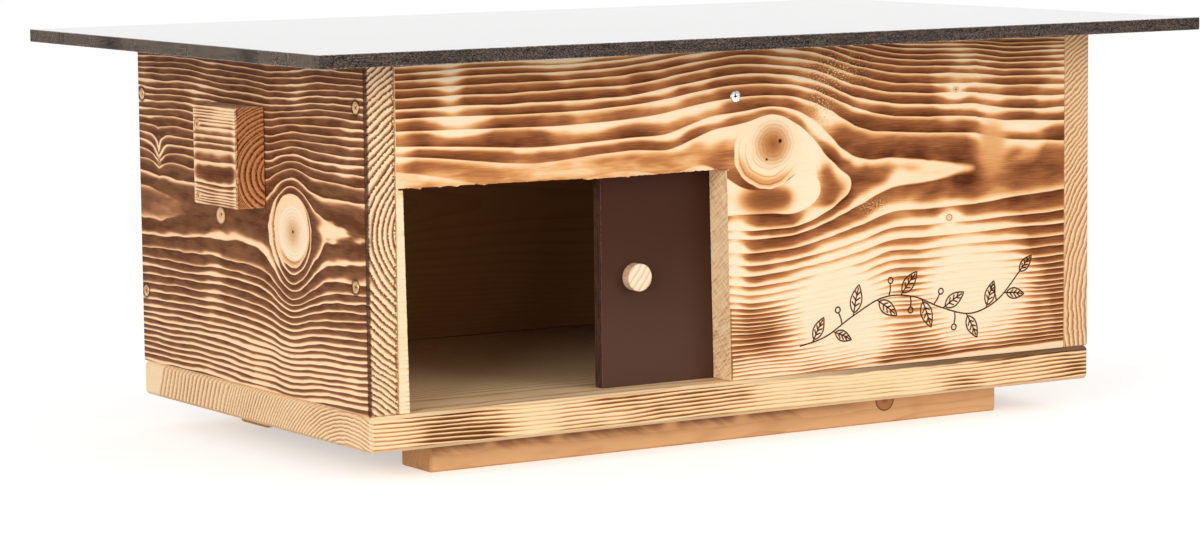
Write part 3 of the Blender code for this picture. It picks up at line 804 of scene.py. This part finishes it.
leftWall["rims"] = screwSpots(-0.3)
rightWall["rims"] = screwSpots(0.3)
finishes = {
    "front_panel": flamed("flamedFront", frontBoard),
    "left_side_wall": flamed("flamedLeft", leftWall),
    "right_side_wall": flamed("flamedRight", rightWall),
    "back_panel": flamed("flamedBack", backBoard),
    "floor_board": flamed("flamedFloor", floorBoard),
    "left_handle": flamed("leftHandleWood", leftHandle),
    "right_handle": flamed("rightHandleWood", rightHandle),
    "front_runner": battenFinish("frontRunnerWood", licked=True),
    "rear_runner": battenFinish("battenWood", licked=False),
    "sliding_door": plywoodFinish("doorPlywood"),
    "roof_panel": plywoodFinish("roofPlywood"),
    "door_knob": knobFinish("knobEndGrain"),
}
for name in (
    "door_top_spacer", "door_top_retainer", "door_bottom_guide", "roof_batten_left", "roof_batten_right"
):
    finishes[name] = finishes["rear_runner"]
for name, material in finishes.items():
    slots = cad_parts[name].data.materials
    slots.clear()
    slots.append(material)
finishes["bright_zinc"] = zincFinish("brightZinc", zinc["bright_zinc"])
finishes["yellow_zinc"] = zincFinish("yellowZinc", zinc["yellow_zinc"])
finishes["garland"] = ironFinish("ironBurn")
print("finishes made:", len(set(finishes.values())))


# Modelling

def deselectAll():
    for thing in bpy.context.selected_objects:
        thing.select_set(False)


def pick(piece):
    deselectAll()
    piece.select_set(True)
    bpy.context.view_layer.objects.active = piece


def placed(name, data):
    thing = bpy.data.objects.new(name, data)
    bpy.context.scene.collection.objects.link(thing)
    return thing


def corners(name):
    return [Vector(corner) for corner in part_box(name)]


def fixPlace():
    bpy.ops.object.transform_apply(location=True, rotation=True, scale=True)


def openMesh():
    bpy.ops.object.mode_set(mode="EDIT")
    bpy.ops.mesh.select_all(action="SELECT")


def closeMesh():
    bpy.ops.mesh.select_all(action="SELECT")
    bpy.ops.mesh.normals_make_consistent(inside=False)
    bpy.ops.object.mode_set(mode="OBJECT")


def settle(piece, material, angle):
    pick(piece)
    fixPlace()
    piece.data.materials.clear()
    piece.data.materials.append(material)
    bpy.ops.object.shade_smooth_by_angle(angle=math.radians(angle))


def applied(piece, kind, **settings):
    modifier = piece.modifiers.new(kind.lower(), kind)
    for key, value in settings.items():
        setattr(modifier, key, value)
    pick(piece)
    bpy.ops.object.modifier_apply(modifier=modifier.name)


def cutOut(piece, cutter, **settings):
    applied(piece, "BOOLEAN", operation="DIFFERENCE", object=cutter, solver="EXACT", **settings)
    bpy.data.objects.remove(cutter, do_unlink=True)


def drawnDown(name, sides, levels):  # a disc, extruded and resized from level to level
    deselectAll()
    radius, level = levels[0]
    bpy.ops.mesh.primitive_circle_add(
        vertices=sides, radius=radius, fill_type="NGON", location=(0, 0, level)
    )
    piece = bpy.context.object
    piece.name = name
    openMesh()
    for newRadius, newLevel in levels[1:]:
        bpy.ops.mesh.extrude_region_move(TRANSFORM_OT_translate={"value": (0, 0, newLevel - level)})
        if newRadius != radius:
            grow = newRadius / radius
            bpy.ops.transform.resize(value=(grow, grow, 1), center_override=(0, 0, newLevel))
        radius, level = newRadius, newLevel
    closeMesh()
    pick(piece)
    fixPlace()
    return piece


def turnForward(piece, name):  # from facing up to facing the front, at a node's front end
    low, high = corners(name)
    pick(piece)
    bpy.ops.transform.rotate(value=-math.pi / 2, orient_axis="X", center_override=(0, 0, 0))
    bpy.ops.transform.translate(value=((low.x + high.x) / 2, low.y, (low.z + high.z) / 2))
    fixPlace()


# Screws: one countersunk screw with a cross recess, copied to each place

screwShape = {
    "sides": 32, "smooth": 32, "seed": 5,
    "head": 0.0040, "headDepth": 0.005, "length": 0.040, "tip": 0.0040,
    "headLevels": (
        (0.0034, -0.0001), (0.0038, 0), (0.0040, -0.0002), (0.0040, -0.0005), (0.0018, -0.0027),
    ),
    "threadPitch": 0.0016, "threadRoot": 0.0014, "threadCrest": 0.0018, "point": 0.0002,
    "cross": 0.0049, "blade": 0.00105, "crossDepth": 0.0019, "crossTaper": 0.45,
    # how deep and how wide the painted shade in the cross recess reaches
    "dirtLevels": (-0.0025, -0.0008), "dirtReach": 0.52, "nearEnd": 0.0002,
    "silver": ("front_rail_screw", "door_knob_screw"),
}


def screwBlank():
    g = screwShape
    levels = list(g["headLevels"])
    level = -g["headDepth"]
    while level > g["tip"] - g["length"]:
        levels.append((g["threadRoot"], level))
        levels.append((g["threadCrest"], level - g["threadPitch"] * 0.5))
        level -= g["threadPitch"]
    levels.append((g["threadRoot"], g["tip"] - g["length"] - g["point"]))
    levels.append((g["point"], -g["length"]))
    blank = drawnDown("screwBlank", g["sides"], levels)
    deselectAll()
    bpy.ops.mesh.primitive_cube_add(size=1, location=(0, 0, 0))
    cutter = bpy.context.object
    bpy.ops.transform.resize(value=(g["cross"], g["blade"], g["crossDepth"] * 2))
    fixPlace()
    openMesh()
    bpy.ops.mesh.duplicate()
    bpy.ops.transform.rotate(value=math.pi / 2, orient_axis="Z", center_override=(0, 0, 0))
    bpy.ops.object.mode_set(mode="OBJECT")
    for vertex in cutter.data.vertices:
        if vertex.co.z < 0:
            vertex.co.xy *= g["crossTaper"]
    cutOut(blank, cutter, use_self=True)
    # painted shade: points inside the cross recess are marked, so the zinc finish darkens them as the
    # recess's shadow
    low, high = g["dirtLevels"]
    dirt = blank.data.attributes.new("dirt", "FLOAT", "POINT")
    for vertex, spot in zip(blank.data.vertices, dirt.data):
        inCross = vertex.co.xy.length < g["cross"] * g["dirtReach"] and low < vertex.co.z < high
        spot.value = 1 if inCross else 0
    pick(blank)
    bpy.ops.object.shade_smooth_by_angle(angle=math.radians(g["smooth"]))
    return blank


def screwHead(name):  # where a screw's head is and which way it goes in: the head end is the wider one
    low, high = corners(name)
    axis = max(range(3), key=lambda k: high[k] - low[k])
    middle = (low + high) / 2
    half = (high[axis] - low[axis]) / 2
    spread = {-1: 0, 1: 0}
    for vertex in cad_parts[name].data.vertices:
        offset = vertex.co - middle
        side = 1 if offset[axis] > 0 else -1
        if abs(offset[axis]) > half - screwShape["nearEnd"]:
            offset[axis] = 0
            spread[side] = max(spread[side], offset.length)
    side = max(spread, key=spread.get)
    head = middle.copy()
    head[axis] = high[axis] if side > 0 else low[axis]
    inward = Vector((0, 0, 0))
    inward[axis] = -side
    return head, inward, min(high - low) / 2, half * 2


def screwAt(name, blank, spin):
    g = screwShape
    head, inward, radius, length = screwHead(name)
    first, *others = name.split("_")
    piece = placed(first + "".join(word.capitalize() for word in others) + "Piece", blank.data.copy())
    grow = radius / g["head"]
    neck = -g["headDepth"]
    stretch = (length - g["headDepth"] * grow) / (g["length"] - g["headDepth"])
    turn = Vector((0, 0, -1)).rotation_difference(inward).to_matrix() @ Matrix.Rotation(spin, 3, "Z")
    for vertex in piece.data.vertices:
        x, y, z = vertex.co
        level = z * grow if z > neck else neck * grow + (z - neck) * stretch
        vertex.co = turn @ Vector((x * grow, y * grow, level)) + head
    slot = "bright_zinc" if name in g["silver"] else "yellow_zinc"
    piece.data.materials.clear()
    piece.data.materials.append(finishes[slot])
    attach(piece, first if first in ("roof", "door") else "house")
    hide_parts(name)


blank = screwBlank()
random.seed(screwShape["seed"])
screwNames = sorted(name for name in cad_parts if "screw" in name)
for name in screwNames:
    screwAt(name, blank, random.uniform(0, math.pi / 2))
bpy.data.objects.remove(blank, do_unlink=True)
print("screws placed:", len(screwNames))


# Knob

knobShape = {
    "sides": 96,
    "levels": (
        (0.0082, 0), (0.0088, -0.00005), (0.0092, -0.00025), (0.0095, -0.0007), (0.0095, -0.0030),
        (0.00945, -0.0055), (0.0095, -0.0080), (0.0094, -0.0082),
    ),
    "smooth": 30,
}
knob = drawnDown("doorKnobPiece", knobShape["sides"], knobShape["levels"])
turnForward(knob, "door_knob")
settle(knob, finishes["door_knob"], knobShape["smooth"])
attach(knob, "door")
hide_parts("door_knob")
print("knob made")


# Front board: a plank with its arrises rounded, and a doorway sawn out by hand

doorway = {
    "leftTop": -0.2727, "rightTop": -0.0184, "foot": 0.0426, "lean": 0.0028,
    "top": 0.1936, "leftRise": 0.0012, "rightRise": 0.0003, "stepAt": -0.1328, "step": 0.0008,
    "kerf": 0.0014, "leftRun": 0.0034, "rightRun": 0.0016,
    "stroke": 0.0015, "wobble": 0.00022, "tear": 0.0011, "tearOdds": 0.09, "sideWobble": 0.00012,
    "ease": 0.0009, "merge": 0.00001, "seatPlay": 0.0002, "seatHole": 0.0021, "smooth": 30, "seed": 11,
}


def doorwayOutline():
    g = doorway
    random.seed(g["seed"])
    left, right = g["leftTop"], g["rightTop"]
    leftLevel = g["top"] + g["leftRise"]
    rightLevel = g["top"] + g["rightRise"]
    points = [(left + g["lean"], g["foot"])]

    def sawnTo(end, wobble, tear=0.0):  # saw strokes, some of which tear the fibres
        start = points[-1]
        dx, dz = end[0] - start[0], end[1] - start[1]
        long = math.hypot(dx, dz)
        count = max(2, int(long / g["stroke"]))
        for n in range(1, count):
            share = n / count
            off = random.uniform(-wobble, wobble)
            if tear and random.random() < g["tearOdds"]:
                off += random.uniform(0.3, 1.0) * tear * random.choice((-1, 1))
            points.append((start[0] + dx * share - dz / long * off, start[1] + dz * share + dx / long * off))
        points.append(end)

    sawnTo((left, leftLevel - g["kerf"]), g["sideWobble"])
    points.append((left - g["leftRun"], leftLevel - g["kerf"]))
    points.append((left - g["leftRun"], leftLevel))
    sawnTo((g["stepAt"], g["top"]), g["wobble"], g["tear"])
    points.append((g["stepAt"] + g["step"], g["top"] - g["step"]))
    sawnTo((right + g["rightRun"], rightLevel), g["wobble"], g["tear"])
    points.append((right + g["rightRun"], rightLevel - g["kerf"]))
    points.append((right, rightLevel - g["kerf"]))
    sawnTo((right + g["lean"], g["foot"]), g["sideWobble"])
    return points


def lineInto(curve, points, closed):
    spline = curve.splines.new("POLY")
    spline.points.add(len(points) - 1)
    spline.use_cyclic_u = closed
    for point, place in zip(spline.points, points):
        point.co = (*place, 1)


def doorwayCutter(low, high):
    outline = bpy.data.curves.new("doorwayOutline", "CURVE")
    outline.dimensions = "2D"
    outline.fill_mode = "BOTH"
    outline.extrude = high.y - low.y
    lineInto(outline, [(x, z, 0) for x, z in doorwayOutline()], True)
    cutter = placed("doorwayCutter", outline)
    cutter.rotation_euler = (math.pi / 2, 0, 0)
    cutter.location = (0, (low.y + high.y) / 2, 0)
    pick(cutter)
    bpy.ops.object.convert(target="MESH")
    openMesh()
    bpy.ops.mesh.remove_doubles(threshold=doorway["merge"])
    closeMesh()
    fixPlace()
    return cutter


def frontBoardPiece():
    g = doorway
    low, high = corners("front_panel")
    deselectAll()
    bpy.ops.mesh.primitive_cube_add(size=1, location=(low + high) / 2)
    board = bpy.context.object
    board.name = "frontBoard"
    bpy.ops.transform.resize(value=high - low)
    fixPlace()
    applied(board, "BEVEL", width=g["ease"], segments=3)
    cutOut(board, doorwayCutter(low, high))
    head = screwShape["head"] + g["seatPlay"]
    hole = g["seatHole"]
    seat = drawnDown(
        "railScrewSeat", screwShape["sides"], ((head, 0.004), (head, -0.0005), (hole, -0.0027), (hole, -0.03))
    )
    turnForward(seat, "front_rail_screw")
    cutOut(board, seat)
    settle(board, finishes["front_panel"], g["smooth"])
    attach(board, "house")
    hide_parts("front_panel")


frontBoardPiece()
print("front board sawn")


# A leafy garland, drawn on the bare patch with a hot iron, in the board's own millimetres

garland = {
    "stem": (
        (342, 22), (364, 27), (388, 40), (414, 51), (440, 50), (466, 40), (492, 34), (516, 42), (535, 60),
    ),
    "leaves": (  # share of the stem, side, length
        (0.07, 1, 17), (0.16, -1, 15), (0.25, 1, 20), (0.35, -1, 19), (0.45, 1, 19), (0.54, -1, 20),
        (0.63, 1, 19), (0.73, -1, 18), (0.82, 1, 18), (0.91, -1, 16), (1, 0, 15),
    ),
    "lean": 52, "fat": 0.24, "stalk": 2.2, "veins": (0.35, 0.55, 0.74),
    "berries": ((0.20, 1, 9), (0.40, 1, 9), (0.59, 1, 9), (0.68, -1, 9), (0.49, -1, 8), (0.87, 1, 8)),
    "berryLean": 78, "berrySize": 2.1,
    "stemPoints": 60, "leafPoints": 24, "berryPoints": 14,
    "stroke": 0.00060, "raised": 0.35, "smooth": 50, "seed": 3,
}


def alongStem(share):
    stem = garland["stem"]
    last = len(stem) - 1
    spot = min(share * last, last - 0.001)
    first = int(spot)
    t = spot - first
    nearby = [stem[min(max(first + n, 0), last)] for n in (-1, 0, 1, 2)]
    return [
        0.5 * (2 * b + (c - a) * t + (2 * a - 5 * b + 4 * c - d) * t ** 2 + (3 * b - a - 3 * c + d) * t ** 3)
        for a, b, c, d in zip(*nearby)
    ]


def heading(share):
    x0, z0 = alongStem(max(share - 0.01, 0))
    x1, z1 = alongStem(min(share + 0.01, 1))
    return math.atan2(z1 - z0, x1 - x0)


def leafStrokes(share, side, length):
    g = garland
    x, z = alongStem(share)
    turn = heading(share) + side * math.radians(g["lean"] + random.uniform(-6, 6))

    def spot(forward, across):
        return (
            x + math.cos(turn) * forward - math.sin(turn) * across,
            z + math.sin(turn) * forward + math.cos(turn) * across,
        )

    def halfWidth(t):
        return g["fat"] * length * math.sin(math.pi * t ** 0.8) ** 0.9

    stalk = g["stalk"]
    steps = g["leafPoints"]
    outline = [spot(stalk + n / steps * length, halfWidth(n / steps)) for n in range(steps + 1)]
    for n in range(steps - 1, 0, -1):
        outline.append(spot(stalk + n / steps * length, -halfWidth(n / steps)))
    strokes = [
        (outline, True),
        ([spot(0, 0), spot(stalk + length * 0.5, 0.4), spot(stalk + length * 0.9, 0)], False),
    ]
    for vein in g["veins"]:
        start = stalk + vein * length
        reach = halfWidth(vein) * 0.72
        for way in (-1, 1):
            bends = ((-2.4, 0.1), (-0.9, reach * 0.55), (0.4, reach))
            strokes.append(([spot(start + forward, across * way) for forward, across in bends], False))
    return strokes


def berryStrokes(share, side, reach):
    g = garland
    size = g["berrySize"]
    x, z = alongStem(share)
    turn = heading(share) + side * math.radians(g["berryLean"])
    tipX, tipZ = x + math.cos(turn) * reach, z + math.sin(turn) * reach
    midX, midZ = tipX + math.cos(turn) * size, tipZ + math.sin(turn) * size
    around = [math.tau * n / g["berryPoints"] for n in range(g["berryPoints"])]
    return [
        ([(x, z), ((x + tipX) / 2 + 0.6, (z + tipZ) / 2), (tipX, tipZ)], False),
        ([(midX + math.cos(a) * size, midZ + math.sin(a) * size) for a in around], True),
    ]


def garlandPiece():
    g = garland
    random.seed(g["seed"])
    steps = g["stemPoints"]
    strokes = [([alongStem(n / steps) for n in range(steps + 1)], False)]
    for leaf in g["leaves"]:
        strokes += leafStrokes(*leaf)
    for berry in g["berries"]:
        strokes += berryStrokes(*berry)
    lines = bpy.data.curves.new("leafGarland", "CURVE")
    lines.dimensions = "3D"
    lines.bevel_depth = g["stroke"]
    lines.bevel_resolution = 1
    lines.use_fill_caps = True
    for points, closed in strokes:
        lineInto(lines, [((along - 300) / 1000, 0, (up + 44.3) / 1000) for along, up in points], closed)
    pick(placed("leafGarland", lines))
    bpy.ops.object.convert(target="MESH")
    drawing = bpy.context.object
    bpy.ops.transform.resize(value=(1, g["raised"], 1), center_override=(0, 0, 0))
    bpy.ops.transform.translate(value=(0, corners("front_panel")[0].y, 0))
    settle(drawing, finishes["garland"], g["smooth"])
    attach(drawing, "house")


garlandPiece()
print("garland drawn")


# Studio

studio = {
    "floorSize": 14,
    "floorColour": (0.88, 0.88, 0.88, 1),
    "floorGlow": (0.46, 0.46, 0.46, 1),
    "ambient": 0.60,
    "lens": 113.90579,
    "cameraPlace": (-1.47137, -2.32037, 0.41936),
    "cameraTurn": (83.49218, 0.56434, -32.17346),
    "lamps": {
        "keyLamp": {"place": (-2.6, -1.5, 0.8), "size": 1.6, "power": 42},
        "fillLamp": {"place": (1.4, -2.7, 0.9), "size": 1.8, "power": 30},
    },
    "lampAim": (0, 0, 0.12),
}

deselectAll()
bpy.ops.mesh.primitive_plane_add(size=studio["floorSize"], location=(0, 0, 0))
floor = bpy.context.object
floor.name = "studioFloor"
floorFinish = Finish("studioWhite", 0.9, 0.1)
floorFinish.paint(studio["floorColour"])
seen = floorFinish.node("ShaderNodeLightPath", out="Is Camera Ray")
floorFinish.set("Emission Color", floorFinish.mix(seen, (0, 0, 0), studio["floorGlow"]))
floorFinish.set("Emission Strength", 1)
floor.data.materials.append(floorFinish.material)

world = bpy.data.worlds.new("studioAir")
bpy.context.scene.world = world
world.use_nodes = True
air = Nodes(world.node_tree)
background = air.tree.nodes["Background"]
air.feed(background.inputs["Color"], (1, 1, 1, 1))
seen = air.larger(
    air.node("ShaderNodeLightPath", out="Is Camera Ray"), air.node("ShaderNodeLightPath", out="Is Glossy Ray")
)
air.feed(background.inputs["Strength"], air.between(studio["ambient"], 1, seen))

for name, lamp in studio["lamps"].items():
    light = bpy.data.lights.new(name, "AREA")
    light.shape = "SQUARE"
    light.size = lamp["size"]
    light.energy = lamp["power"]
    holder = placed(name, light)
    holder.location = lamp["place"]
    aim = Vector(studio["lampAim"]) - holder.location
    holder.rotation_euler = aim.to_track_quat("-Z", "Y").to_euler()

lens = bpy.data.cameras.new("photoCamera")
lens.sensor_width = 36
lens.lens = studio["lens"]
camera = placed("photoCamera", lens)
camera.location = studio["cameraPlace"]
camera.rotation_euler = [math.radians(turn) for turn in studio["cameraTurn"]]
bpy.context.scene.camera = camera
bpy.context.scene.view_settings.view_transform = "Standard"
print("studio set")
